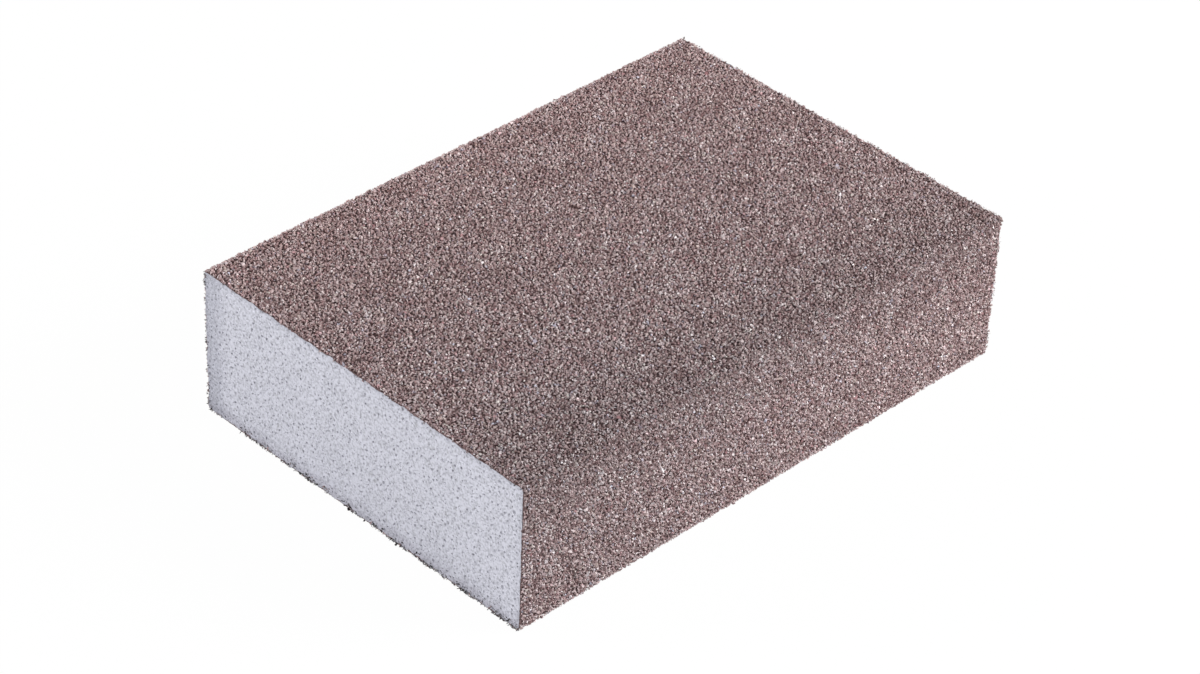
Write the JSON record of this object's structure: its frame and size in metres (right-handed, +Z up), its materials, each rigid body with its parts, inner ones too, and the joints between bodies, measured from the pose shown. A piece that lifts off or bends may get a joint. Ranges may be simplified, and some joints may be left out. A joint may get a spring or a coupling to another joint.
{
  "type": "sanding sponge",
  "caption": "Rectangular sanding sponge: fine-celled foam block with brown abrasive bonded round its long sides and bare cut ends, held in the hand to smooth wood or paint.",
  "frame": {"origin": "centre of the broad coated face that the sponge lies on", "axes": "+X along the sponge towards a cut end, +Y across it towards a narrow coated side, +Z up out of the upper broad face"},
  "size_m": [0.1, 0.0694, 0.026],
  "materials": {
    "foam": "matte",
    "abrasive": "matte"
  },
  "bodies": {
    "root": {"foam_core": "foam", "abrasive_coat": "abrasive"}
  },
  "joints": []
}
